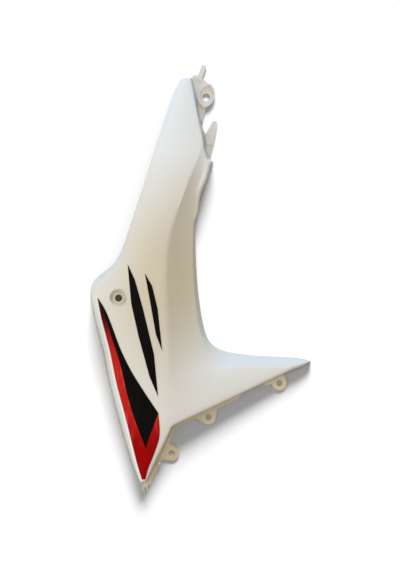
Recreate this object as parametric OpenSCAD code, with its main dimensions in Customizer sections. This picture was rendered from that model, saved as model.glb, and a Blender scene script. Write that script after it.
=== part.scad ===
// Left-hand radiator fairing of an off-road motorcycle.
// One moulded shell: a long blade that points up and back, a side scoop, and a wing to the right.
// Its origin is the axis of the main bolt, on the outer face of the floor of that bolt's recess.
// X runs to the right, Y runs up the blade, and Z points out of the face.

/* [Wall] */
// Thickness of the moulded wall
wall = 2.4; // [2:0.1:2.8]
// Radius that rolls the face over into its side walls
edge_r = 3.4; // [3:0.1:4]

/* [Main bolt] */
// Diameter of the hole for the main bolt
main_hole_d = 8; // [6:0.2:10]
// Diameter of the flat floor of the recess that takes the bolt's head
recess_floor_d = 12.4; // [12:0.2:14]
// Slope of the recess's side, in degrees from its axis
recess_draft = 28; // [15:1:32]
// Thickness of the recess floor
recess_floor = 2.6; // [2:0.2:4]
// Wall of the boss round the recess
recess_wall = 2.4; // [1.8:0.2:3]
// Thickness of the gussets round the boss
gusset_t = 1.8; // [1.2:0.2:3]
// Reach of the gussets out of the boss
gusset_l = 8; // [5:0.5:9]

/* [Ears] */
// Diameter of the holes in the three ears
ear_hole_d = 6.6; // [5:0.2:8]
// Diameter of the round end of an ear
ear_d = 16; // [14:0.5:18]
// Thickness of an ear
ear_t = 3; // [2.4:0.2:4]
// Thickness of the strip along the lower rim
strip_t = 2.6; // [2:0.2:4]

/* [Top fixings] */
// Thickness of the flange beside the upper right edge
flange_t = 2.6; // [2:0.2:4]
// Diameter of the hole in the upper boss
upper_hole_d = 8.4; // [6:0.2:9.6]
// Height of the upper boss
boss_h = 5.4; // [4.8:0.2:6.4]
// Depth of the pointed pocket round that hole
pocket_depth = 2.4; // [1:0.2:2.8]
// Wall round the pocket
pocket_wall = 2.2; // [1.6:0.2:3]
// Width of the upper hook tongue
hook_w = 5.4; // [4.4:0.2:7]
// Radius of that tongue's corners
hook_corner = 1.4; // [0.6:0.2:2]
// Thickness of the hook tongues
hook_t = 3.6; // [2.8:0.2:5]

/* [Small parts] */
// Diameter of the locating pin on the strip
pin_d = 3; // [2:0.2:4]
// Height of the pin over the strip's underside
pin_h = 9; // [6:0.5:12]
// Width of the tongue at the lower tip
tongue_w = 5.6; // [4:0.2:8]
// Length that the tongue stands out of the lower tip
tongue_l = 6; // [3:0.5:8]
// Thickness of the tongue
tongue_t = 3; // [2:0.2:5]
// Width of the slot that forks the tongue's end
fork_w = 1.8; // [1:0.2:2.4]
// Depth of that slot
fork_l = 3.4; // [2:0.2:5]

/* [Decals] */
// Thickness of the vinyl films
film_t = 0.3; // [0.2:0.05:0.5]

/* [Hidden] */
$fn = 48;
// Height of the plane that the ears and the walls come down to
floor_z = -30;
// The side walls stop this far above that plane
rim_lift = 0.4;
rim_z = floor_z + rim_lift;
// A cut or a joined solid reaches this far past the face that it crosses
over = 1;
// Heights over the recess's floor, both above the face, that its boss and its cut are carried up to
boss_top = 13.6;
recess_top = 20.4;

// Left edge of the blade's face, from the top end to the lower tip
LEFT_EDGE = [
    [69, 237.5, -12], [63.5, 225, -10.5], [56, 203, -7.5], [49.5, 184, -5], [43.5, 165, -3],
    [36.5, 144.5, -1], [30, 124, 0.5], [20, 94, 2], [12, 69, 3], [6, 51, 3.6],
    [0, 38, 4], [-8, 28, 4.4], [-18.5, 18.5, 4.6], [-23.5, 10, 4.9], [-22.9, 0, 5.2],
    [-18.7, -22, 5.2], [-13.5, -42, 4.8], [-9, -60, 4], [-5.6, -77, 3.2], [-1.4, -97, 2],
    [6.4, -126, -0.4], [10.2, -141, -2], [13.6, -155, -3.6], [20, -181, -6.4], [25.6, -199.6, -8.6]
];
// Right edge of the blade's face at the same stations: the ridge where the scoop joins it
RIDGE = [
    [77.6, 239, -11], [79.6, 228, -10], [83, 209, -7.6], [86.8, 189, -5], [90.8, 166, -2.6],
    [82, 142, 0.6], [74, 121, 2.4], [65.4, 97, 4.4], [58, 75, 5.6], [54.4, 56, 6.4],
    [52.6, 39, 7], [52, 24, 7.4], [52, 12, 7.5], [52.4, 3, 7.5], [52.8, -8, 7.4],
    [53.6, -28, 6.8], [54.2, -46, 6], [55, -64, 5.2], [55.6, -82, 4.2], [56.2, -101, 3],
    [56.8, -125, 1], [56.4, -138.6, -0.6], [49, -155, -2.8], [36, -182, -6.2], [29.4, -199, -8.8]
];
// Height of the blade's crown over the line from edge to ridge
CROWN = [
    0.6, 1, 1.6, 2.2, 2.6, 2.8, 3, 3, 2.8, 2.6, 2.4, 2.3, 2.3, 2.3, 2.3, 2.3, 2.3, 2.2, 2.2, 2.2, 2, 1.8,
    1.4, 0.8, 0.3
];
// Run and lowest height of the left side wall: how far it leans out for each millimetre down
LEFT_WALL = [
    [0.06, -26], [0.04, -24], [0.03, -20], [0.03, -17], [0.03, -15], [0.03, -13.4], [0.03, -12.2],
    [0.03, -11], [0.04, -11], [0.06, -12.6], [0.1, -16], [0.13, -20.5], [0.15, -25.5], [0.15, -28.6],
    [0.15, rim_z], [0.15, rim_z], [0.15, rim_z], [0.15, rim_z], [0.16, rim_z], [0.17, rim_z],
    [0.2, rim_z], [0.2, rim_z], [0.18, rim_z], [0.14, rim_z], [0.1, rim_z]
];
// The stations between which the scoop and the wing join the ridge
FIRST = 4;
LAST = 21;
// Inner line of the scoop's rolled edge, which runs on as the lower line of the wing's top band
BAND = [
    [94.6, 151.4, -4.6], [91, 134, -5.4], [83.4, 118, -8], [82.2, 101, -10.6], [82.2, 79, -12.4],
    [82, 60, -13.4], [82, 43, -14], [82.4, 28, -14.2], [83.2, 14, -14.2], [84, 2, -14],
    [85.4, -11, -13.8], [88.6, -31, -13.2], [93.2, -47, -12.6], [100, -62.5, -11.6], [114, -71.4, -10.6],
    [140, -74.2, -10.4], [174, -76, -12.4], [194, -74.7, -14.4]
];
// Outer line of that band
OUTER = [
    [99, 149, -5.6], [93.6, 135, -4.8], [86.4, 118.5, -4.6], [83.4, 100.5, -9], [83.2, 79, -14.6],
    [83.4, 60, -16.6], [83.8, 43, -17.8], [84.6, 28, -18.4], [85.6, 13, -18.8], [87, 1, -19],
    [88.8, -13, -19], [92.6, -33, -19], [98, -47.4, -19.2], [109, -57.6, -18.6],
    [126, -62.8, -18], [151, -65.6, -18], [184, -67.4, -18.4], [208.6, -70, -18.4]
];
// Run and lowest height of the side wall outside that line, and of the blade's right side wall past it
RIGHT_WALL = [
    [0.1, rim_z], [0.1, rim_z], [0.1, rim_z], [0.11, rim_z], [0.1, rim_z], [0.05, rim_z],
    [0.04, -27], [0.04, -26], [0.05, -26], [0.05, -27], [0.06, -28], [0.06, rim_z], [0.06, rim_z],
    [0.06, rim_z], [0.06, rim_z], [0.06, rim_z], [0.06, rim_z], [0.05, rim_z], [0.05, rim_z],
    [0.05, rim_z], [0.05, rim_z], [0.04, rim_z], [0.08, rim_z], [0.08, rim_z], [0.08, rim_z]
];
// Run and lowest height of the side wall below the wing, from the notch to the wing's tip
UNDER_WALL = [[0.02, rim_z], [0.02, rim_z], [0.08, rim_z], [0.24, rim_z]];
// Share by which the slope from the ridge to the band is hollow
SLOPE_HOLLOW = 0.25;

// Rows between two stations, and columns across the blade, the scoop and the band
rows = 3;
blade_cols = 7;
scoop_cols = 9;
band_cols = 2;
arc_steps = 3;
// Steps on each side over which the direction of a side wall is evened out
blend_steps = 3;
// Least run of the face towards its edge, the lowest slope at which the edge starts to roll over, and the
// least angle that it rolls through
least_run = 0.2;
lowest_start = -25;
least_roll = 30;

// Place of the holes in the ears, and the direction from each hole to the wall that carries it
EARS = [[98.7, -131.5], [176.8, -93.8], [58.2, -171.4]];
EAR_TURNS = [115, 115, 160];
// Angle by which the flanks of each ear spread towards its root
EAR_SPREADS = [34, 4, 12];
// Reach of an ear's root past its hole into the wall
ear_root = 10;

// Outer line of the strip along the lower rim, from the wing to the lower tip
RIM_STRIP = [
    [134.4, -106.6], [133.4, -110.2], [121.2, -116.1], [108.7, -122.3], [86.6, -132], [72, -138.2],
    [65.4, -141.6], [61.6, -145.4], [59.4, -150], [57, -157], [54.4, -164], [48, -179.3], [42, -190.3],
    [36.1, -202.4], [33.4, -206.4], [30, -204.6]
];
// The last column of the wing that the strip runs under
strip_last = 5;

// Hole of the upper boss, and the two circles, centre and radius, whose shared area is its pocket
UPPER_HOLE = [96.2, 221.2];
POCKET = [
    [UPPER_HOLE + [4.8, 1], 12.2],
    [UPPER_HOLE + [-5.7, 3.6], 13.3]
];
// Root of the upper hook tongue, its turn, and its length
HOOK_1 = [88, 240];
hook_turn = -20;
hook_l = 17.6;
// Outline of the flange that carries the hook and the boss, right of the side wall
UPPER_FLANGE = [
    [81, 244.6], HOOK_1 + [-4, 6.2], HOOK_1 + [2.4, 3.8], [94.4, 240.2],
    UPPER_HOLE + [3.4, 14.4], UPPER_HOLE + [0.8, 4.8], UPPER_HOLE + [-0.8, -11.4],
    [95.2, 206.4], [93.6, 201], [92.2, 193]
];
// Outline of the lower flange, right of the side wall
LOWER_FLANGE = [
    [95.6, 180.6], [105, 174], [104.4, 171], [101.6, 160], [99.6, 150.4], [95.6, 151.6], [92.6, 160]
];
// Outline of the lower hook tongue up to its round end, and the centre and radius of that end
HOOK_2 = [
    [96.4, 169.4], [95.2, 180.6], [100, 188], [102.7, 193.6], [107.9, 191.2], [107, 184], [104.4, 172],
    [103.6, 168.6]
];
HOOK_2_END = [[105.3, 192.4], 2.86];

// Axis of the locating pin
PIN = [44.4, -182];
// Place where the forked tongue leaves the lower tip, its stretch into the wall, and its cut corners
TIP = [29.2, -206.1];
tongue_root = 3.7;
fork_corner = 1;
// Bar that stiffens the rim beside the outer ear: its start, its turn, its length, width and height
BAR = [161.4, -97.6];
BAR_SIZE = [9.6, 5, 3.4];
wing_turn = 25.4;

// Line between the red and the black stripe, from the top down to the black one's tip
SPLIT = [[-22.6, 0], [-13.4, -24], [-7.4, -44], [-2, -60], [2.6, -76], [11, -112], [20, -140], [30, -166]];
// Right edge of the black stripe, from the top down to its corner
BLACK_EDGE = [
    [-22.6, 0], [-15, -12], [-8.8, -26.4], [-2, -45], [4, -60], [14, -80], [27, -101], [43.6, -126]
];
// Lower edge of the black stripe, from its corner to its tip
BLACK_END = [[43.6, -126], [38.4, -141], [33.4, -154], [30, -166]];
// Right edge of the red stripe, from the lower tip up to the black one's corner
RED_EDGE = [[28.4, -203], [32.4, -188], [37.6, -175], [42, -163], [44.6, -154], [45.2, -143], [43.6, -126]];
// Outlines of the two straight-edged strakes
LONG_STRAKE = [[10, 37], [18, 20], [27, -12], [39, -62], [43.4, -108], [34, -86], [22, -42], [14, -6]];
SHORT_STRAKE = [[29, 27], [37, 13], [43, -12], [48, -58], [41, -40], [35, -6]];
// Steps along a decal's edge between two of its points, and how far its outline reaches past the left edge
film_steps = 4;
past_left = [-40, 0];
// Rows of the blade that the films and the boss lie between
BOSS_ROWS = [30, 54];
FILM_ROWS = [38, 72];
STRAKE_ROWS = [27, 62];

// Value of a list of vectors at a place s, which runs from 0 at the first to the last one's number
function spline(list, s) =
    let (last = len(list) - 1, i = min(floor(s), last - 1), t = s - i)
    let (b = list[i], c = list[i + 1])
    let (a = list[max(i - 1, 0)], d = list[min(i + 2, last)])
    b + t / 2 * ((c - a) + t * (2 * a - 5 * b + 4 * c - d + t * (3 * (b - c) + d - a)));

// Straight blend from a to b
function mix(a, b, t) = a + (b - a) * t;

// Unit vector along v
function unit(v) = v / norm(v);

// Direction in plan a quarter turn to the right of v
function right_of(v) = [v[1], -v[0]];

last_row = rows * (len(LEFT_EDGE) - 1);
first_scoop = rows * FIRST;
last_scoop = rows * LAST;
scoop_rows = last_scoop - first_scoop;
side_cols = scoop_cols + band_cols;

// Outer surface of the blade: one list of points for each row
BLADE = [
    for (r = [0 : last_row])
        let (s = r / rows, a = spline(LEFT_EDGE, s), b = spline(RIDGE, s), h = spline(CROWN, s))
        [for (c = [0 : blade_cols]) let (u = c / blade_cols) mix(a, b, u) + [0, 0, 4 * h * u * (1 - u)]]
];

// Height share along the slope from the ridge to the band
function slope(u) = u + SLOPE_HOLLOW * u * (1 - u);

// Outer surface of the scoop and the wing: each row starts on the ridge
SCOOP = [
    for (r = [0 : scoop_rows])
        let (s = r / rows, a = BLADE[first_scoop + r][blade_cols], k = spline(BAND, s), b = spline(OUTER, s))
        [
            for (c = [0 : side_cols])
                let (u = c / scoop_cols, t = (c - scoop_cols) / band_cols)
                c <= scoop_cols
                    ? [mix(a[0], k[0], u), mix(a[1], k[1], u), mix(a[2], k[2], slope(u))]
                    : mix(k, b, t)
        ]
];

// Stations round the edge of the face, against the clock: place, neighbour inside, and side wall
RING = concat(
    [for (r = [0 : last_row - 1]) [BLADE[r][0], BLADE[r][1], spline(LEFT_WALL, r / rows)]],
    [
        for (c = [0 : blade_cols - 1])
            let (left = spline(LEFT_WALL, last_row / rows), right = spline(RIGHT_WALL, last_row / rows))
            [BLADE[last_row][c], BLADE[last_row - 1][c], mix(left, right, c / blade_cols)]
    ],
    [
        for (r = [last_row : -1 : last_scoop + 1])
            [BLADE[r][blade_cols], BLADE[r][blade_cols - 1], spline(RIGHT_WALL, r / rows)]
    ],
    [
        for (c = [0 : side_cols - 1])
            let (w = spline(UNDER_WALL, c / side_cols * (len(UNDER_WALL) - 1)))
            [SCOOP[scoop_rows][c], SCOOP[scoop_rows - 1][c], w]
    ],
    [
        for (r = [scoop_rows : -1 : 1])
            let (s = FIRST + r / rows)
            [SCOOP[r][side_cols], SCOOP[r][side_cols - 1], spline(RIGHT_WALL, min(s, LAST - 1))]
    ],
    [for (c = [side_cols : -1 : 1]) [SCOOP[0][c], SCOOP[1][c], RIGHT_WALL[FIRST]]],
    [
        for (r = [first_scoop : -1 : 1])
            [BLADE[r][blade_cols], BLADE[r][blade_cols - 1], spline(RIGHT_WALL, r / rows)]
    ],
    [
        for (c = [blade_cols : -1 : 1])
            let (w = mix(LEFT_WALL[0], RIGHT_WALL[0], c / blade_cols))
            [BLADE[0][c], BLADE[1][c], w]
    ]
);
ring_n = len(RING);

// Stations of the ring at the lower tip's right corner, at the notch, and at the top right row of the scoop
tip_at = last_row + blade_cols;
notch_at = tip_at + last_row - last_scoop;
scoop_at = notch_at + 2 * side_cols + scoop_rows;
// Stations of the ring between which each flange joins the side wall
UPPER_FOOT = [scoop_at + 4, scoop_at + 11];
LOWER_FOOT = [scoop_at, scoop_at + 3];

function ring_point(i) = RING[(i + ring_n) % ring_n][0];
function plan(v) = [v[0], v[1]];

// Outward direction of the side wall at a station, evened out over its neighbours
function outward(i) =
    let (steps = [for (k = [-blend_steps : blend_steps - 1]) plan(ring_point(i + k + 1) - ring_point(i + k))])
    unit(right_of([for (v = steps) 1 / norm(v)] * steps));

// Points of the side wall at one station, from the first arc step down to the rim
function wall_points(i) =
    let (p = RING[i][0], q = RING[i][1], w = RING[i][2], d = outward(i), v = p - q)
    let (run = max(least_run, plan(v) * d), fall = -v[2])
    let (steep = 90 - atan(w[0]), start = max(lowest_start, min(steep - least_roll, atan2(fall, run))))
    let (arc = [for (k = [1 : arc_steps]) mix(start, steep, k / arc_steps)])
    let (arc_out = [for (a = arc) edge_r * (sin(a) - sin(start))])
    let (arc_z = [for (a = arc) p[2] - edge_r * (cos(start) - cos(a))])
    let (out = arc_out[arc_steps - 1], top = arc_z[arc_steps - 1])
    let (place = function (o, z) [p[0] + d[0] * o, p[1] + d[1] * o, z])
    [
        for (k = [0 : arc_steps])
            k < arc_steps ? place(arc_out[k], arc_z[k]) : place(out + (top - w[1]) * w[0], w[1])
    ];
WALLS = [for (i = [0 : ring_n - 1]) wall_points(i)];
levels = len(WALLS[0]);

// Line in the middle of the side wall's foot from one station to another
function foot_line(from, to) = [for (i = [from : to]) plan(WALLS[i][levels - 1]) - wall / 2 * outward(i)];

// Numbers of the shell's points: blade, scoop without the ridge, then the side wall
row_len = blade_cols + 1;
scoop_base = (last_row + 1) * row_len;
wall_base = scoop_base + (scoop_rows + 1) * side_cols;
side_points = wall_base + ring_n * levels;
function blade_id(r, c) = r * row_len + c;
function scoop_id(r, c) = c == 0 ? blade_id(first_scoop + r, blade_cols) : scoop_base + r * side_cols + c - 1;

RING_ID = concat(
    [for (r = [0 : last_row - 1]) blade_id(r, 0)],
    [for (c = [0 : blade_cols - 1]) blade_id(last_row, c)],
    [for (r = [last_row : -1 : last_scoop + 1]) blade_id(r, blade_cols)],
    [for (c = [0 : side_cols - 1]) scoop_id(scoop_rows, c)],
    [for (r = [scoop_rows : -1 : 1]) scoop_id(r, side_cols)],
    [for (c = [side_cols : -1 : 1]) scoop_id(0, c)],
    [for (r = [first_scoop : -1 : 1]) blade_id(r, blade_cols)],
    [for (c = [blade_cols : -1 : 1]) blade_id(0, c)]
);
function wall_id(i, k) = k == 0 ? RING_ID[i % ring_n] : wall_base + (i % ring_n) * levels + k - 1;

OUTSIDE = concat(
    [for (row = BLADE) each row],
    [for (row = SCOOP) for (c = [1 : side_cols]) row[c]],
    [for (w = WALLS) each w]
);

// Two triangles for the four-sided cell a, b, c, d, named against the clock
function cell(a, b, c, d) = [[a, b, c], [a, c, d]];

OUT_FACES = concat(
    [
        for (r = [0 : last_row - 1], c = [0 : blade_cols - 1])
            each cell(blade_id(r, c), blade_id(r + 1, c), blade_id(r + 1, c + 1), blade_id(r, c + 1))
    ],
    [
        for (r = [0 : scoop_rows - 1], c = [0 : side_cols - 1])
            each cell(scoop_id(r, c), scoop_id(r + 1, c), scoop_id(r + 1, c + 1), scoop_id(r, c + 1))
    ],
    [
        for (i = [0 : ring_n - 1], k = [0 : levels - 1])
            each cell(wall_id(i, k), wall_id(i, k + 1), wall_id(i + 1, k + 1), wall_id(i + 1, k))
    ]
);

// Unit normal of the surface from the points before and after along its two directions
function normal(down, right) = unit(cross(down, right));

function blade_normal(r, c) =
    let (up = BLADE[max(r - 1, 0)][c], down = BLADE[min(r + 1, last_row)][c])
    let (on_ridge = c == blade_cols && r >= first_scoop && r <= last_scoop)
    let (east = on_ridge ? SCOOP[r - first_scoop][1] : BLADE[r][min(c + 1, blade_cols)])
    normal(down - up, east - BLADE[r][max(c - 1, 0)]);
function scoop_normal(r, c) =
    let (up = SCOOP[max(r - 1, 0)][c], down = SCOOP[min(r + 1, scoop_rows)][c])
    normal(down - up, SCOOP[r][min(c + 1, side_cols)] - SCOOP[r][c - 1]);
function wall_normal(i, k) =
    let (before = WALLS[(i + ring_n - 1) % ring_n][k - 1], after = WALLS[(i + 1) % ring_n][k - 1])
    let (above = k == 1 ? RING[i][0] : WALLS[i][k - 2], below = WALLS[i][min(k, levels - 1)])
    k == levels ? normal(after - before, [0, 0, 1]) : normal(after - before, above - below);

NORMALS = concat(
    [for (r = [0 : last_row], c = [0 : blade_cols]) blade_normal(r, c)],
    [for (r = [0 : scoop_rows], c = [1 : side_cols]) scoop_normal(r, c)],
    [for (i = [0 : ring_n - 1], k = [1 : levels]) wall_normal(i, k)]
);
INSIDE = [for (i = [0 : side_points - 1]) OUTSIDE[i] - wall * NORMALS[i]];

// The moulded shell without its fixings
module shell() {
    rim = [
        for (i = [0 : ring_n - 1])
            let (a = wall_id(i, levels), b = wall_id(i + 1, levels))
            each cell(a, a + side_points, b + side_points, b)
    ];
    inner = [for (f = OUT_FACES) [f[2] + side_points, f[1] + side_points, f[0] + side_points]];
    faces = [for (f = concat(OUT_FACES, inner, rim)) [f[2], f[1], f[0]]];
    polyhedron(points = concat(OUTSIDE, INSIDE), faces = faces, convexity = 12);
}

// Closed solid between two grids of points, the upper and the lower
module between(upper, lower) {
    rows_n = len(upper);
    cols_n = len(upper[0]);
    n = rows_n * cols_n;
    id = function (r, c) r * cols_n + c;
    top = [
        for (r = [0 : rows_n - 2], c = [0 : cols_n - 2])
            each cell(id(r, c), id(r + 1, c), id(r + 1, c + 1), id(r, c + 1))
    ];
    bottom = [for (f = top) [f[2] + n, f[1] + n, f[0] + n]];
    border = concat(
        [for (r = [0 : rows_n - 2]) id(r, 0)],
        [for (c = [0 : cols_n - 2]) id(rows_n - 1, c)],
        [for (r = [rows_n - 1 : -1 : 1]) id(r, cols_n - 1)],
        [for (c = [cols_n - 1 : -1 : 1]) id(0, c)]
    );
    sides = [
        for (i = [0 : len(border) - 1])
            let (a = border[i], b = border[(i + 1) % len(border)])
            each cell(a, a + n, b + n, b)
    ];
    polyhedron(
        points = concat([for (row = upper) each row], [for (row = lower) each row]),
        faces = [for (f = concat(top, bottom, sides)) [f[2], f[1], f[0]]],
        convexity = 6
    );
}

// The room under the middle of the blade's wall, which what hangs from the face is cut to
module under_face() {
    upper = [
        for (r = [BOSS_ROWS[0] : BOSS_ROWS[1]])
            [for (c = [0 : blade_cols]) BLADE[r][c] - wall / 2 * blade_normal(r, c)]
    ];
    between(upper, [for (row = upper) [for (p = row) [p[0], p[1], floor_z]]]);
}

// Radius of the boss round the main bolt's recess at a height, inside which the wall is even
function boss_r(z) = recess_floor_d / 2 + z * tan(recess_draft) + recess_wall / cos(recess_draft);

// Boss below the face that the main bolt's recess is sunk into, with four gussets
module recess_boss() {
    inner = boss_r(0) - over;
    outer = boss_r(0) + gusset_l;
    top = boss_top - over;
    intersection() {
        union() {
            translate([0, 0, -recess_floor])
                cylinder(r1 = boss_r(-recess_floor), r2 = boss_r(boss_top), h = boss_top + recess_floor);
            for (turn = [45 : 90 : 315])
                rotate([90, 0, turn])
                    linear_extrude(gusset_t, center = true)
                    polygon([[inner, 0], [outer, recess_floor], [outer, top], [inner, top]]);
        }
        under_face();
    }
}

// Ear with a round end and spreading flanks, whose root reaches into the side wall
module ear(i) {
    r = ear_d / 2;
    a = EAR_SPREADS[i];
    reach = (ear_root + r * sin(a)) * tan(a);
    flank = [[-r * sin(a), r * cos(a)], [ear_root, r * cos(a) + reach]];
    translate([EARS[i][0], EARS[i][1], floor_z])
        rotate(EAR_TURNS[i]) {
            cylinder(r = r, h = ear_t);
            linear_extrude(ear_t)
                polygon([flank[0], flank[1], [flank[1][0], -flank[1][1]], [flank[0][0], -flank[0][1]]]);
        }
}

// Straight tongue along Y with rounded corners at its end
module tongue(width, length, thick, corner) {
    translate([-width / 2, 0, 0]) cube([width, length - corner, thick]);
    translate([corner - width / 2, 0, 0]) cube([width - 2 * corner, length, thick]);
    for (side = [-1, 1])
        translate([side * (width / 2 - corner), length - corner, 0]) cylinder(r = corner, h = thick);
}

// Area that two circles share, with each of them grown, as an upright solid
module pocket(grown, height) {
    intersection() {
        translate(POCKET[0][0]) cylinder(r = POCKET[0][1] + grown, h = height);
        translate(POCKET[1][0]) cylinder(r = POCKET[1][1] + grown, h = height);
    }
}

// Flanges beside the upper right edge, with the upper boss and the two hook tongues
module top_fixings() {
    translate([0, 0, floor_z]) {
        linear_extrude(flange_t)
            polygon(concat(foot_line(UPPER_FOOT[0], UPPER_FOOT[1]), UPPER_FLANGE));
        linear_extrude(flange_t)
            polygon(concat(foot_line(LOWER_FOOT[0], LOWER_FOOT[1]), LOWER_FLANGE));
        pocket(pocket_wall, boss_h);
        translate(HOOK_1) rotate(hook_turn) tongue(hook_w, hook_l, hook_t, hook_corner);
        linear_extrude(hook_t) polygon(HOOK_2);
        translate(HOOK_2_END[0]) cylinder(r = HOOK_2_END[1], h = hook_t);
    }
}

// Outline of the forked tongue, which points down from the lower tip
module fork() {
    half = tongue_w / 2;
    slot = fork_w / 2;
    polygon([
        [-half, tongue_root], [-half, fork_corner - tongue_l], [fork_corner - half, -tongue_l],
        [-slot, -tongue_l], [-slot, fork_l - tongue_l], [slot, fork_l - tongue_l], [slot, -tongue_l],
        [half - fork_corner, -tongue_l], [half, fork_corner - tongue_l], [half, tongue_root]
    ]);
}

// Strip along the lower rim, with its pin, the forked tongue of the lower tip, and the bar by the outer ear
module rim_details() {
    translate([0, 0, floor_z]) {
        linear_extrude(strip_t) polygon(concat(foot_line(tip_at, notch_at + strip_last), RIM_STRIP));
        translate(PIN) cylinder(d = pin_d, h = pin_h);
        translate(TIP) linear_extrude(tongue_t) fork();
        translate(BAR) rotate(wing_turn) cube(BAR_SIZE);
    }
}

// Bore from the plane of the rim up through what stands on it
module hole_at(place, d, thick) {
    translate([place[0], place[1], floor_z - over]) cylinder(d = d, h = thick + 2 * over);
}

// Bores, the recess and the pocket
module cuts() {
    recess_r = recess_floor_d / 2;
    cylinder(r1 = recess_r, r2 = recess_r + recess_top * tan(recess_draft), h = recess_top);
    translate([0, 0, -recess_floor - over]) cylinder(d = main_hole_d, h = recess_floor + 2 * over);
    translate([0, 0, floor_z + boss_h - pocket_depth]) pocket(0, pocket_depth + over);
    hole_at(UPPER_HOLE, upper_hole_d, boss_h);
    for (p = EARS) hole_at(p, ear_hole_d, ear_t);
}

module fairing_panel() {
    color([0.93, 0.925, 0.9])
        difference() {
            union() {
                shell();
                recess_boss();
                top_fixings();
                rim_details();
                for (i = [0 : len(EARS) - 1]) ear(i);
            }
            cuts();
        }
}

// Smooth line through a few points
function smooth(points) =
    let (last = (len(points) - 1) * film_steps)
    [for (i = [0 : last]) spline(points, i / film_steps)];
function turned(list) = [for (i = [len(list) - 1 : -1 : 0]) list[i]];
// The same list without its last entry
function open(list) = [for (i = [0 : len(list) - 2]) list[i]];

// Vinyl film on the outer face between two rows of the blade, cut to an outline in plan
module film(span, outline) {
    lower = [for (r = [span[0] : span[1]]) BLADE[r]];
    upper = [
        for (r = [span[0] : span[1]])
            [for (c = [0 : blade_cols]) BLADE[r][c] + film_t * blade_normal(r, c)]
    ];
    intersection() {
        between(upper, lower);
        translate([0, 0, floor_z]) linear_extrude(-floor_z * 2) polygon(outline);
    }
}

// The red stripe fills the face from its left edge to the black one and to its own right edge
module red_stripe_decal() {
    color([0.78, 0.05, 0.05])
        film(FILM_ROWS, concat(
            open(smooth(SPLIT)), open(turned(smooth(BLACK_END))), open(turned(smooth(RED_EDGE))),
            [RED_EDGE[0] + past_left, SPLIT[0] + past_left]
        ));
}

module black_stripe_decal() {
    color([0.06, 0.06, 0.07])
        film(FILM_ROWS, concat(
            open(smooth(BLACK_EDGE)), open(smooth(BLACK_END)), turned(smooth(SPLIT))
        ));
}

module long_strake_decal() {
    color([0.06, 0.06, 0.07])
        film(STRAKE_ROWS, LONG_STRAKE);
}

module short_strake_decal() {
    color([0.06, 0.06, 0.07])
        film(STRAKE_ROWS, SHORT_STRAKE);
}

fairing_panel();
red_stripe_decal();
black_stripe_decal();
long_strake_decal();
short_strake_decal();
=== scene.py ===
"""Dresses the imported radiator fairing: one smooth moulded shell, its vinyl films, and a pale studio.

The solids come from the frame. The shell and the films are refined copies of those solids, so each
stays where its solid is, and every finish is worked out from the object's own coordinates.
"""

import logging
from dataclasses import dataclass
from enum import Enum
from math import pi, radians
from typing import Any

import bmesh
import bpy
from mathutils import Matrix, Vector
from mathutils.bvhtree import BVHTree


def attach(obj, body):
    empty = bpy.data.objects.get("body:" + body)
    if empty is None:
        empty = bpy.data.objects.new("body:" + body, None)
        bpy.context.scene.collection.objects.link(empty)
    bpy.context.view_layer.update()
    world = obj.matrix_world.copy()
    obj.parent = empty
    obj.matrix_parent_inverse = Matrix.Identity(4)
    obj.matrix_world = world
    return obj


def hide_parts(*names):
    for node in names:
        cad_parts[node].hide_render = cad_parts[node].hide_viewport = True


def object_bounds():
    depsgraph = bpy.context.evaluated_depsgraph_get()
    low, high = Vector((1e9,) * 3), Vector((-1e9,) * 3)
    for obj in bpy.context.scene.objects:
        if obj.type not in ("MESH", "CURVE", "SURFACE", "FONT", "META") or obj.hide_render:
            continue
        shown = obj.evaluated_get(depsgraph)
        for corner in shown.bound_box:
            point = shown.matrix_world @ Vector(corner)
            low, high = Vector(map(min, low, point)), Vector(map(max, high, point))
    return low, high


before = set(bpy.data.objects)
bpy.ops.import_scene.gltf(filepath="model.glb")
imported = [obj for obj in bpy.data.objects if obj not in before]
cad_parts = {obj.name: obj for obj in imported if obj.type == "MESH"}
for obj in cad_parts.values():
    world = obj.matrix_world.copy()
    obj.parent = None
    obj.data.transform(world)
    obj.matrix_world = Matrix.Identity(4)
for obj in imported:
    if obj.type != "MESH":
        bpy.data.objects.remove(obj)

LOG = logging.getLogger("fairing")
CAD_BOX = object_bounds()
BODY = "root"
MM = 0.001
# The lamps face this point in the middle of the part.
AIM = Vector((0.07, 0.0, -0.01))
# Vertices that lie this close together are one.
WELD = 0.01 * MM
# An edge that turns by more than this stays hard.
SHARP = radians(40.0)

# The value where a ramp starts at 0, and the value where it reaches 1.
Span = tuple[float, float]
Triple = tuple[float, float, float]
Colour = tuple[float, float, float, float]
BLACK: Colour = (0.0, 0.0, 0.0, 1.0)
WHITE: Colour = (1.0, 1.0, 1.0, 1.0)


class Slot(Enum):
    """The record's material slots."""

    WHITE_PLASTIC = "white_plastic"
    RED_VINYL = "red_vinyl"
    BLACK_VINYL = "black_vinyl"


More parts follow.
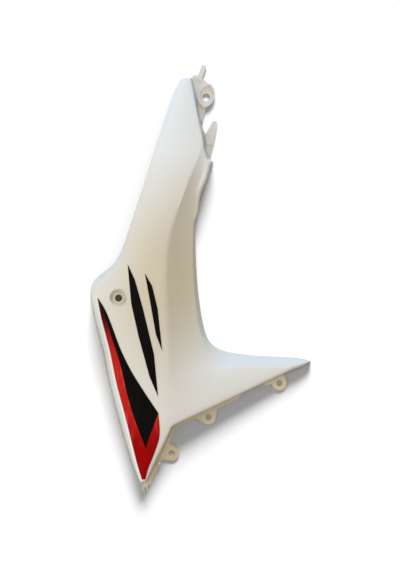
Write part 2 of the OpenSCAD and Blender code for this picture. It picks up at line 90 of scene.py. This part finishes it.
class Maths:
    """One output socket, on which Python's operators add Math nodes.

    Args:
        tree: The node tree that the new nodes go into.
        socket: The output socket that holds the value.
    """

    def __init__(self, tree: bpy.types.NodeTree, socket: bpy.types.NodeSocket) -> None:
        self.tree = tree
        self.socket = socket

    def _op(self, operation: str, a: Any, b: Any, clamp: bool = False) -> "Maths":
        """Adds a Math node.

        Args:
            operation: The node's operation.
            a: Its first value, a number or a Maths.
            b: Its second value, a number or a Maths.
            clamp: Whether the result is kept between 0 and 1.

        Returns:
            The result.
        """
        node = self.tree.nodes.new("ShaderNodeMath")
        node.operation = operation
        node.use_clamp = clamp
        for socket, value in zip(node.inputs, (a, b)):
            if isinstance(value, Maths):
                self.tree.links.new(value.socket, socket)
            else:
                socket.default_value = value
        return Maths(self.tree, node.outputs[0])

    def __add__(self, other: Any) -> "Maths":
        """This value plus another."""
        return self._op("ADD", self, other)

    def __radd__(self, other: Any) -> "Maths":
        """Another value plus this one."""
        return self._op("ADD", other, self)

    def __sub__(self, other: Any) -> "Maths":
        """This value minus another."""
        return self._op("SUBTRACT", self, other)

    def __rsub__(self, other: Any) -> "Maths":
        """Another value minus this one."""
        return self._op("SUBTRACT", other, self)

    def __mul__(self, other: Any) -> "Maths":
        """This value times another."""
        return self._op("MULTIPLY", self, other)

    def larger(self, other: Any) -> "Maths":
        """The larger of this value and another."""
        return self._op("MAXIMUM", self, other)

    def size(self) -> "Maths":
        """This value without its sign."""
        return self._op("ABSOLUTE", self, 0.0)

    def ramp(self, low: float, high: float) -> "Maths":
        """Share of the way from low to high, kept between 0 and 1.

        Args:
            low: The value that gives 0.
            high: The value that gives 1.

        Returns:
            The share.
        """
        return self._op("MULTIPLY", self - low, 1.0 / (high - low), clamp=True)


class Finish:
    """A material whose nodes are added through one method.

    Args:
        name: The material's name.
    """

    def __init__(self, name: str) -> None:
        self.material = bpy.data.materials.new(name)
        self.material.use_nodes = True
        self.tree = self.material.node_tree
        self.tree.nodes.clear()

    def add(self, kind: str, settings: dict[str, Any] | None = None, **sockets: Any) -> bpy.types.Node:
        """Adds one node.

        Args:
            kind: The node's type.
            settings: Its own settings, which are set first.
            **sockets: Values or links of its enabled sockets, with _ for a space in a socket's name.

        Returns:
            The node.
        """
        node = self.tree.nodes.new(kind)
        for key, value in (settings or {}).items():
            setattr(node, key, value)
        for key, value in sockets.items():
            wanted = key.replace("_", " ").lower()
            self.feed(next(s for s in node.inputs if s.enabled and s.name.lower() == wanted), value)
        return node

    def feed(self, socket: bpy.types.NodeSocket, value: Any) -> None:
        """Sets a socket's value, or links it.

        Args:
            socket: The input socket.
            value: A plain value, or the Maths or output socket that it is linked to.
        """
        if isinstance(value, Maths):
            value = value.socket
        if isinstance(value, bpy.types.NodeSocket):
            self.tree.links.new(value, socket)
        else:
            socket.default_value = value

    def value(self, node: bpy.types.Node, output: str = "Fac") -> Maths:
        """One output of a node, ready for maths."""
        return Maths(self.tree, node.outputs[output])

    def place(self) -> bpy.types.NodeSocket:
        """The object's own coordinates, in metres."""
        return self.add("ShaderNodeTexCoord").outputs["Object"]

    def stretched(self, vector: bpy.types.NodeSocket, turn: float, scale: Triple) -> bpy.types.NodeSocket:
        """Coordinates turned about Z and then scaled along each axis."""
        node = self.add("ShaderNodeMapping", Vector=vector, Rotation=(0.0, 0.0, turn), Scale=scale)
        return node.outputs["Vector"]

    def split(self, vector: bpy.types.NodeSocket) -> tuple[Maths, Maths, Maths]:
        """The three parts of a vector."""
        node = self.add("ShaderNodeSeparateXYZ", Vector=vector)
        return tuple(Maths(self.tree, out) for out in node.outputs)

    def distance(self, vector: bpy.types.NodeSocket, point: Triple) -> Maths:
        """Distance from a fixed point.

        Args:
            vector: The place that it is measured from.
            point: The fixed point.

        Returns:
            The distance.
        """
        node = self.tree.nodes.new("ShaderNodeVectorMath")
        node.operation = "DISTANCE"
        self.feed(node.inputs[0], vector)
        self.feed(node.inputs[1], point)
        return Maths(self.tree, node.outputs["Value"])

    def noise(self, vector: bpy.types.NodeSocket, per_metre: float = 1.0, detail: float = 2.0) -> Maths:
        """Noise from 0 to 1 with so many cells a metre."""
        return self.value(self.add("ShaderNodeTexNoise", Vector=vector, Scale=per_metre, Detail=detail))

    def painted(self, attribute: str) -> Maths:
        """A value that the mesh itself holds."""
        node = self.add("ShaderNodeAttribute", {"attribute_type": "GEOMETRY", "attribute_name": attribute})
        return self.value(node)

    def blend(self, share: Any, a: Any, b: Any) -> bpy.types.NodeSocket:
        """Colour a where the share is 0, and colour b where it is 1."""
        node = self.add("ShaderNodeMix", {"data_type": "RGBA"}, Factor=share, A=a, B=b)
        return next(s for s in node.outputs if s.enabled)

    def bump(self, height: Maths, depth: float) -> bpy.types.NodeSocket:
        """Normal bumped by a height from 0 to 1, whose full depth is in metres."""
        return self.add("ShaderNodeBump", Strength=1.0, Distance=depth, Height=height).outputs["Normal"]

    def end(self, shader: bpy.types.NodeSocket) -> bpy.types.Material:
        """Ends the material with a shader's output, and returns it."""
        self.add("ShaderNodeOutputMaterial", Surface=shader)
        return self.material

    def principled(self, **sockets: Any) -> bpy.types.Material:
        """Ends the material with a Principled shader.

        Args:
            **sockets: Values or links of the shader's sockets.

        Returns:
            The material.
        """
        return self.end(self.add("ShaderNodeBsdfPrincipled", **sockets).outputs["BSDF"])


@dataclass(frozen=True)
class MouldedPlastic:
    """White injection-moulded plastic: a soft gloss outside, painted warm light and shade at its middle and
    rim, painted shade on its right walls, and a grained back.
    """

    white: Colour = (0.80, 0.80, 0.785, 1.0)
    warm_shade: Colour = (0.64, 0.535, 0.35, 1.0)
    back_tone: Colour = (0.74, 0.73, 0.69, 1.0)
    # Painted shade: the dark tone that steep right-facing walls take.
    wall_shade_tone: Colour = (0.42, 0.38, 0.30, 1.0)
    gloss: float = 0.34
    back_gloss: float = 0.52
    ior: float = 1.49
    wall_shade_share: float = 0.8
    back_share: float = 0.7
    # Painted warm light and shade round one point, to which the low parts of the face add.
    warm_centre: Triple = (48 * MM, 20 * MM, -8 * MM)
    warm_stretch: Triple = (1.6, 1.0, 1.0)
    warm_core: float = 30 * MM
    warm_reach: float = 145 * MM
    warm_high: float = 0.78
    warm_lower: float = 0.2
    low_heights: Span = (4 * MM, -10 * MM)
    # Painted warm light and shade along the rim, which grows down the part.
    rim_heights: Span = (-20 * MM, -26 * MM)
    rim_length: Span = (200 * MM, -60 * MM)
    rim_least: float = 0.15
    rim_more: float = 0.65
    # How much of that painted warm light and shade shows, and the soft clouds of random tone over it. Cells
    # are counted to the metre.
    warm_shade_share: float = 0.92
    cloud_share: float = 0.1
    cloud_cells: float = 16.0
    cloud_rough: float = 0.08
    # Scratches and orange peel outside, grain and the rings of ejector pins inside.
    scratch_turn: float = radians(28.0)
    scratch_cells: Triple = (1500.0, 14.0, 14.0)
    scratch_seen: Span = (0.7, 0.85)
    scratch_rough: float = 0.04
    peel_cells: float = 520.0
    peel_depth: float = 0.01 * MM
    grain_cells: float = 2600.0
    grain_depth: float = 0.06 * MM
    pin_radius: float = 3.5 * MM
    pin_line: float = 0.3 * MM
    pin_depth: float = 3.0
    pins: tuple[tuple[float, float], ...] = (
        (30 * MM, -40 * MM), (30 * MM, -100 * MM), (34 * MM, 55 * MM), (52 * MM, 110 * MM),
        (66 * MM, 160 * MM), (78 * MM, 205 * MM), (112 * MM, -88 * MM), (155 * MM, -76 * MM),
    )

    def pin_marks(self, shader: Finish, across: Maths, along: Maths) -> Maths:
        """Rings that the mould's ejector pins leave on the back.

        Args:
            shader: The material that the nodes go into.
            across: X of the surface.
            along: Y of the surface.

        Returns:
            1 on a ring's line and 0 off it.
        """
        flat = shader.add("ShaderNodeCombineXYZ", X=across, Y=along).outputs["Vector"]
        marks = None
        for x, y in self.pins:
            off_line = (shader.distance(flat, (x, y, 0.0)) - self.pin_radius).size()
            ring = off_line.ramp(self.pin_line, 0.0)
            marks = ring if marks is None else marks.larger(ring)
        return marks

    def material(self) -> bpy.types.Material:
        """Builds the plastic.

        Returns:
            The material.
        """
        shader = Finish("moulded_white_plastic")
        place = shader.place()
        across, along, height = shader.split(place)
        back = shader.painted("back")
        wall_shade = shader.painted("right_wall_shade")
        cloud = shader.noise(place, self.cloud_cells)
        peel = shader.noise(place, self.peel_cells)
        grain = shader.noise(place, self.grain_cells, detail=1.0)
        scratches = shader.noise(shader.stretched(place, self.scratch_turn, self.scratch_cells))

        # Painted warm light and shade: darker and warmer round the scoop, lower on the face, and along the
        # rim near the floor.
        low = height.ramp(*self.low_heights)
        drawn = shader.stretched(place, 0.0, self.warm_stretch)
        centre = tuple(c * s for c, s in zip(self.warm_centre, self.warm_stretch))
        near = shader.distance(drawn, centre).ramp(self.warm_reach, self.warm_core)
        face = near * (self.warm_high + low * self.warm_lower)
        rim_share = self.rim_least + along.ramp(*self.rim_length) * self.rim_more
        rim_warm_shade = height.ramp(*self.rim_heights) * rim_share
        painted_warmth_and_clouds = face.larger(rim_warm_shade) * self.warm_shade_share + cloud * self.cloud_share
        colour = shader.blend(painted_warmth_and_clouds, self.white, self.warm_shade)
        # Painted shade on the steep right-facing walls outside.
        colour = shader.blend(wall_shade * (1.0 - back) * self.wall_shade_share, colour, self.wall_shade_tone)
        colour = shader.blend(back * self.back_share, colour, self.back_tone)

        marks = self.pin_marks(shader, across, along) * back
        rough = self.gloss + back * (self.back_gloss - self.gloss)
        rough = rough + (cloud - 0.5) * self.cloud_rough
        rough = rough + scratches.ramp(*self.scratch_seen) * self.scratch_rough
        outside = peel * (1.0 - back) * (self.peel_depth / self.grain_depth)
        inside = (grain - marks * self.pin_depth) * back
        return shader.principled(
            Base_Color=colour, Roughness=rough, IOR=self.ior,
            Normal=shader.bump(outside + inside, self.grain_depth),
        )


@dataclass(frozen=True)
class VinylFilm:
    """Glossy vinyl film whose colour shifts down its length, with flakes and long soft streaks; the streaks'
    colour is a painted highlight.
    """

    name: str
    top: Colour
    middle: Colour
    low: Colour
    streak_highlight: Colour
    streak_highlight_share: float
    metallic: float
    roughness: float
    sheen: float = 0.04
    # Flakes, and streaks that vary the roughness and hold the painted highlight, with cells counted to the
    # metre.
    flake_cells: float = 1400.0
    flake_depth: float = 0.004 * MM
    flake_rough: float = 0.1
    streak_turn: float = radians(-15.0)
    streak_cells: Triple = (230.0, 42.0, 42.0)
    streak_seen: Span = (0.5, 0.72)
    streak_start: Span = (-30 * MM, -80 * MM)
    streak_end: Span = (-165 * MM, -120 * MM)
    streak_rough: float = 0.06
    # Where the middle and low colours start along Y, and how far the streaks shift that.
    wander: float = 30 * MM
    middle_start: Span = (-22 * MM, -62 * MM)
    low_start: Span = (-128 * MM, -160 * MM)

    def material(self) -> bpy.types.Material:
        """Builds the film.

        Returns:
            The material.
        """
        shader = Finish(self.name)
        place = shader.place()
        _, along, _ = shader.split(place)
        flakes = shader.noise(place, self.flake_cells, detail=1.0)
        streaks = shader.noise(shader.stretched(place, self.streak_turn, self.streak_cells))
        wandering = along + (streaks - 0.5) * self.wander
        upper = shader.blend(wandering.ramp(*self.middle_start), self.top, self.middle)
        colour = shader.blend(wandering.ramp(*self.low_start), upper, self.low)
        stretch = along.ramp(*self.streak_start) * along.ramp(*self.streak_end)
        painted_highlight = streaks.ramp(*self.streak_seen) * stretch
        colour = shader.blend(painted_highlight * self.streak_highlight_share, colour, self.streak_highlight)
        rough = self.roughness + (flakes - 0.5) * self.flake_rough
        rough = rough + (streaks - 0.5) * self.streak_rough
        return shader.principled(
            Base_Color=colour,
            Metallic=self.metallic,
            Roughness=rough,
            Specular_IOR_Level=self.sheen,
            Normal=shader.bump(flakes, self.flake_depth),
        )


def own_copy(node: str, name: str) -> bpy.types.Object:
    """Copies a CAD node's mesh into an object of its own.

    Args:
        node: The CAD node's name.
        name: The new object's name.

    Returns:
        The new object, linked to the scene.
    """
    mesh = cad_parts[node].data.copy()
    mesh.name = name
    mesh.materials.clear()
    piece = bpy.data.objects.new(name, mesh)
    bpy.context.scene.collection.objects.link(piece)
    return piece


def shade(mesh: bmesh.types.BMesh) -> None:
    """Makes the faces smooth and keeps the edges hard where the form turns sharply.

    Args:
        mesh: The mesh.
    """
    for edge in mesh.edges:
        edge.smooth = len(edge.link_faces) != 2 or edge.calc_face_angle() <= SHARP
    for face in mesh.faces:
        face.smooth = True


def show(piece: bpy.types.Object, material: bpy.types.Material, slot: Slot, *nodes: str) -> None:
    """Dresses a piece and lets it stand for its CAD nodes.

    Args:
        piece: The piece.
        material: Its material.
        slot: The material slot that it goes by; it is not used.
        *nodes: The CAD nodes that it stands for.
    """
    piece.data.materials.append(material)
    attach(piece, BODY)
    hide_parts(*nodes)
    LOG.info("%s: %d faces", piece.name, len(piece.data.polygons))


@dataclass
class MouldedShell:
    """The one moulded piece of the fairing."""

    flat_join: float = radians(14.0)
    shape_join: float = radians(60.0)
    levels: int = 2
    lift: float = 0.3 * MM
    # How far a face turns towards +X where its painted shade starts, and where it is full.
    wall_shade_from: float = 0.78
    wall_shade_full: float = 0.94
    finish: MouldedPlastic = MouldedPlastic()

    def mark_sides(self, mesh: bmesh.types.BMesh) -> None:
        """Marks the back's vertices, which have the shell above them, and how far each face is a steep
        right-facing wall, which takes painted shade.

        Args:
            mesh: The shell's mesh, before it is refined.
        """
        mesh.normal_update()
        tree = BVHTree.FromBMesh(mesh)
        up = Vector((0.0, 0.0, 1.0))
        back = mesh.verts.layers.float.new("back")
        for vert in mesh.verts:
            hit = tree.ray_cast(vert.co + vert.normal * self.lift, up)
            vert[back] = 0.0 if hit[0] is None else 1.0
        wall_shade = mesh.faces.layers.float.new("right_wall_shade")
        for face in mesh.faces:
            share = (face.normal.x - self.wall_shade_from) / (self.wall_shade_full - self.wall_shade_from)
            face[wall_shade] = min(1.0, max(0.0, share))

    def build(self) -> bpy.types.Object:
        """Refines the shell: quads again, creased edges, and subdivision.

        Returns:
            The shell.
        """
        piece = own_copy("fairing_panel", "fairing_shell")
        mesh = bmesh.new()
        mesh.from_mesh(piece.data)
        bmesh.ops.remove_doubles(mesh, verts=mesh.verts, dist=WELD)
        bmesh.ops.dissolve_degenerate(mesh, edges=mesh.edges, dist=WELD)
        self.mark_sides(mesh)
        bmesh.ops.join_triangles(
            mesh, faces=mesh.faces, angle_face_threshold=self.flat_join,
            angle_shape_threshold=self.shape_join,
        )
        shade(mesh)
        crease = mesh.edges.layers.float.new("crease_edge")
        for edge in mesh.edges:
            edge[crease] = 0.0 if edge.smooth else 1.0
        mesh.to_mesh(piece.data)
        mesh.free()
        subdivision = piece.modifiers.new("smooth form", "SUBSURF")
        subdivision.levels = subdivision.render_levels = self.levels
        subdivision.use_limit_surface = False
        return piece

    def make(self) -> None:
        """Builds and dresses the shell."""
        show(self.build(), self.finish.material(), Slot.WHITE_PLASTIC, "fairing_panel")


@dataclass
class VinylGraphics:
    """The films on the outer face."""

    # The red's middle colour is its own red brightened by painted sheen towards orange.
    red: VinylFilm = VinylFilm(
        "metallic_red_film", top=(0.05, 0.004, 0.006, 1.0), middle=(0.52, 0.016, 0.014, 1.0),
        low=(0.33, 0.0015, 0.0015, 1.0), streak_highlight=(0.85, 0.11, 0.045, 1.0), streak_highlight_share=0.7,
        metallic=0.15, roughness=0.38,
    )
    black: VinylFilm = VinylFilm(
        "black_film", top=(0.004, 0.0035, 0.0035, 1.0), middle=(0.0025, 0.002, 0.002, 1.0),
        low=(0.003, 0.0025, 0.0025, 1.0), streak_highlight=(0.006, 0.006, 0.0065, 1.0), streak_highlight_share=0.6,
        metallic=0.0, roughness=0.16,
    )

    def build(self, node: str) -> bpy.types.Object:
        """Copies one film with smooth faces and hard edges.

        Args:
            node: The film's CAD node.

        Returns:
            The film.
        """
        piece = own_copy(node, node.replace("_decal", "_film"))
        mesh = bmesh.new()
        mesh.from_mesh(piece.data)
        bmesh.ops.remove_doubles(mesh, verts=mesh.verts, dist=WELD)
        shade(mesh)
        mesh.to_mesh(piece.data)
        mesh.free()
        return piece

    def make(self) -> None:
        """Builds and dresses the four films."""
        show(self.build("red_stripe_decal"), self.red.material(), Slot.RED_VINYL, "red_stripe_decal")
        black = self.black.material()
        for node in ("black_stripe_decal", "long_strake_decal", "short_strake_decal"):
            show(self.build(node), black, Slot.BLACK_VINYL, node)


class Lit(Enum):
    """What a lamp lights, as the light linking state of the floor."""

    FLOOR_ONLY = "INCLUDE"
    PART_ONLY = "EXCLUDE"


def place_lamp(
    data: bpy.types.Light, towards: Vector, distance: float, floor: bpy.types.Object, painted_highlight: Lit
) -> bpy.types.Object:
    """Puts a lamp in the scene, facing back along its direction.

    Args:
        data: The lamp's data.
        towards: Unit vector from the part to the lamp.
        distance: The lamp's distance from the part.
        floor: The floor, which the lamp lights or leaves out.
        painted_highlight: What the lamp lights.

    Returns:
        The lamp.
    """
    lamp = bpy.data.objects.new(data.name, data)
    lamp.location = AIM + distance * towards
    lamp.rotation_mode = "QUATERNION"
    lamp.rotation_quaternion = (-towards).to_track_quat("-Z", "Y")
    bpy.context.scene.collection.objects.link(lamp)
    receivers = bpy.data.collections.new(data.name + "_receivers")
    receivers.objects.link(floor)
    receivers.collection_objects[0].light_linking.link_state = painted_highlight.value
    lamp.light_linking.receiver_collection = receivers
    return lamp


@dataclass(frozen=True)
class WideSun:
    """A sun for the floor alone, which lights it evenly as far as it is seen.

    Its strength is what a white surface that faces it sends back: 1 is white.
    """

    name: str
    towards: Triple
    strength: float
    spread: float
    distance: float = 4.0

    def make(self, floor: bpy.types.Object) -> None:
        """Adds the sun to the scene.

        Args:
            floor: The floor, which is all that it lights.
        """
        data = bpy.data.lights.new(self.name, "SUN")
        data.angle = self.spread
        data.energy = self.strength * pi
        place_lamp(data, Vector(self.towards).normalized(), self.distance, floor, Lit.FLOOR_ONLY)


@dataclass(frozen=True)
class Softbox:
    """A square area lamp that faces the middle of the part and leaves the floor out.

    Its strength is what a white surface that faces it sends back: 1 is white.
    """

    name: str
    towards: Triple
    strength: float
    colour: Triple
    reflects: bool = True
    size: float = 1.2
    distance: float = 2.6

    def make(self, floor: bpy.types.Object) -> None:
        """Adds the lamp to the scene.

        Args:
            floor: The floor, which the lamp leaves out.
        """
        data = bpy.data.lights.new(self.name, "AREA")
        data.shape = "SQUARE"
        data.size = self.size
        data.energy = self.strength * (pi * self.distance) ** 2
        data.color = self.colour
        lamp = place_lamp(data, Vector(self.towards).normalized(), self.distance, floor, Lit.PART_ONLY)
        lamp.visible_glossy = self.reflects


@dataclass
class Studio:
    """Pale floor, soft lamps and the camera that looks straight down on the part."""

    px: float = 1.1 * MM
    image: tuple[int, int] = (400, 570)
    origin_px: tuple[float, float] = (118.8, 298.0)
    lens: float = 300.0
    sensor: float = 36.0
    sharp_height: float = -14 * MM
    floor_drop: float = 0.2 * MM
    floor_size: float = 6.0
    floor_seen: Colour = (0.97, 0.97, 0.975, 1.0)
    floor_bounce: Colour = (0.10, 0.095, 0.085, 1.0)
    floor_glow: float = 0.04
    sky_strength: float = 0.30
    lamps: tuple[Softbox, ...] = (
        Softbox(
            "overhead_light", towards=(-0.12, 0.15, 0.98), strength=0.75, colour=(1.0, 0.87, 0.66), size=4.0,
        ),
        Softbox("left_edge_light", towards=(-0.88, -0.42, 0.2), strength=0.54, colour=(0.86, 0.91, 1.0)),
        Softbox(
            "cool_top_light", towards=(0.0, 0.97, 0.22), strength=0.78, colour=(0.3, 0.6, 1.0),
            reflects=False,
        ),
        Softbox(
            "scoop_light", towards=(0.66, 0.35, 0.66), strength=0.1, colour=(1.0, 0.93, 0.8),
            reflects=False, size=2.0,
        ),
    )
    floor_light: WideSun = WideSun(
        "floor_light", towards=(0.05, 0.83, 0.54), strength=1.35, spread=radians(23.0),
    )

    def camera(self) -> None:
        """Looks down from above, with +Y up in the picture."""
        data = bpy.data.cameras.new("camera")
        data.lens = self.lens
        data.sensor_width = self.sensor
        camera = bpy.data.objects.new("camera", data)
        height = self.image[1] * self.px
        centre_x = (self.image[0] / 2 - self.origin_px[0]) * self.px
        centre_y = (self.origin_px[1] - self.image[1] / 2) * self.px
        camera.location = (centre_x, centre_y, self.sharp_height + height * self.lens / self.sensor)
        bpy.context.scene.collection.objects.link(camera)
        bpy.context.scene.camera = camera

    def floor(self) -> bpy.types.Object:
        """A floor that looks white, keeps the part's shadow, and throws little light back on the part.

        Returns:
            The floor.
        """
        mesh = bmesh.new()
        bmesh.ops.create_grid(mesh, x_segments=1, y_segments=1, size=self.floor_size)
        bmesh.ops.translate(mesh, verts=mesh.verts, vec=(0.0, 0.0, CAD_BOX[0].z - self.floor_drop))
        data = bpy.data.meshes.new("floor")
        mesh.to_mesh(data)
        mesh.free()
        floor = bpy.data.objects.new("floor", data)
        bpy.context.scene.collection.objects.link(floor)
        shader = Finish("pale_floor")
        rays = shader.add("ShaderNodeLightPath")
        seen = shader.value(rays, "Is Camera Ray").larger(shader.value(rays, "Is Glossy Ray"))
        seen = seen.larger(shader.value(rays, "Is Transmission Ray"))
        colour = shader.blend(seen, self.floor_bounce, self.floor_seen)
        floor.data.materials.append(shader.principled(
            Base_Color=colour, Roughness=1.0, Specular_IOR_Level=0.0,
            Emission_Color=shader.blend(seen, BLACK, WHITE),
            Emission_Strength=self.floor_glow,
        ))
        return floor

    def sky(self) -> None:
        """An even white sky."""
        world = bpy.data.worlds.new("even sky")
        bpy.context.scene.world = world
        world.use_nodes = True
        background = world.node_tree.nodes["Background"]
        background.inputs["Color"].default_value = WHITE
        background.inputs["Strength"].default_value = self.sky_strength

    def make(self) -> None:
        """Builds the studio."""
        self.camera()
        self.sky()
        floor = self.floor()
        for lamp in self.lamps:
            lamp.make(floor)
        self.floor_light.make(floor)
        bpy.context.scene.view_settings.view_transform = "Standard"


def main() -> None:
    """Builds the studio and the part's sub-assemblies in order."""
    logging.basicConfig(level=logging.INFO)
    Studio().make()
    MouldedShell().make()
    VinylGraphics().make()


if __name__ == "__main__":
    main()
